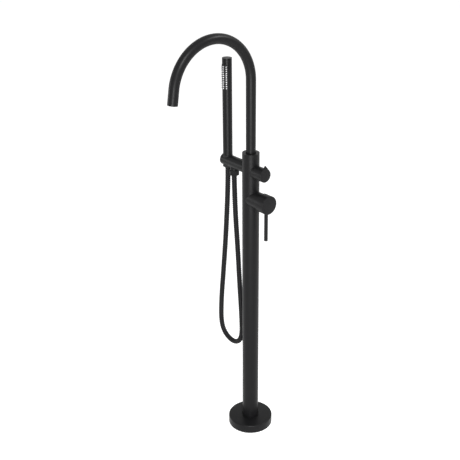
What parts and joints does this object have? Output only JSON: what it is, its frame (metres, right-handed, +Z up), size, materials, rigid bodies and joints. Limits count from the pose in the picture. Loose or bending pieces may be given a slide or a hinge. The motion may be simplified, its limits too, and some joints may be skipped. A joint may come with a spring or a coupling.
{
  "type": "bath filler",
  "caption": "Floor standing bath filler: round base, slim column, swan-neck swivel spout, side lever mixer, diverter knob, holder bar with stick hand shower and hanging hose.",
  "frame": {"origin": "on the column's axis at the floor, in the plane of the base's underside", "axes": "+Z up the column; the spout reaches to -Y at rest; the mixer lever and the diverter knob point to +X; the holder bar and hand shower are on -X"},
  "size_m": [0.2092, 0.3133, 1.1502],
  "materials": {
    "black_coating": "matte powder coating",
    "brass": "machined",
    "steel": "plain",
    "copper_tube": "drawn tube",
    "black_plastic": "moulded",
    "white_plastic": "moulded",
    "black_rubber": "smooth",
    "grey_silicone": "moulded",
    "hose_skin": "satin, finely ribbed"
  },
  "bodies": {
    "column": {"base_cover": "black_coating", "floor_flange": "steel", "column_clamp_screws": "steel", "column_tube": "black_coating", "column_top_ring": "black_coating", "valve_body": "brass", "hot_inlet_tube": "copper_tube", "cold_inlet_tube": "copper_tube", "inlet_union_nuts": "brass", "spout_bush": "white_plastic", "diverter_sleeve": "black_coating", "diverter_cartridge": "brass", "mixer_housing": "brass", "mixer_cartridge": "white_plastic", "cartridge_nut": "brass", "mixer_sleeve": "black_coating", "holder_bar": "black_coating", "holder_stud": "brass", "holder_socket": "black_plastic", "hose_outlet_nipple": "brass", "hose_outlet_nut": "black_coating", "outlet_hose_tail": "brass", "outlet_washer": "black_rubber", "shower_hose": "hose_skin"},
    "spout": {"spout_tube": "black_coating", "spout_stub": "brass", "spout_o_rings": "black_rubber", "aerator_shell": "black_coating", "aerator_jet_disc": "black_plastic"},
    "diverter": {"diverter_spindle": "brass", "diverter_knob": "black_coating", "diverter_knob_screw": "steel"},
    "carrier": {"lever_carrier": "black_plastic", "tilt_pin": "steel"},
    "lever": {"lever_stem": "brass", "mixer_handle": "black_coating", "lever_pin": "black_coating", "handle_set_screw": "steel"},
    "hand_shower": {"handset_body": "black_coating", "handset_top_cap": "black_coating", "spray_plate": "black_plastic", "nozzle_mat": "grey_silicone", "handset_nipple": "brass", "handset_cone_nut": "black_coating", "handset_hose_tail": "brass", "handset_washer": "black_rubber"}
  },
  "joints": [
    {"name": "spout_swivel", "type": "hinge", "parent": "column", "child": "spout", "pos_m": [0, 0, 0.82], "axis": [0, 0, 1], "range_deg": [-60, 60]},
    {"name": "diverter_turn", "type": "hinge", "parent": "column", "child": "diverter", "pos_m": [0.03, 0, 0.7847], "axis": [1, 0, 0], "range_deg": [0, 90]},
    {"name": "mixer_turn", "type": "hinge", "parent": "column", "child": "carrier", "pos_m": [0.046, 0, 0.7085], "axis": [1, 0, 0], "range_deg": [-45, 45]},
    {"name": "mixer_lift", "type": "hinge", "parent": "carrier", "child": "lever", "pos_m": [0.046, 0, 0.7085], "axis": [0, -1, 0], "range_deg": [0, 14]},
    {"name": "hand_shower_lift", "type": "slide", "parent": "column", "child": "hand_shower", "axis": [0, 0, 1], "range_m": [0, 0.08]}
  ]
}
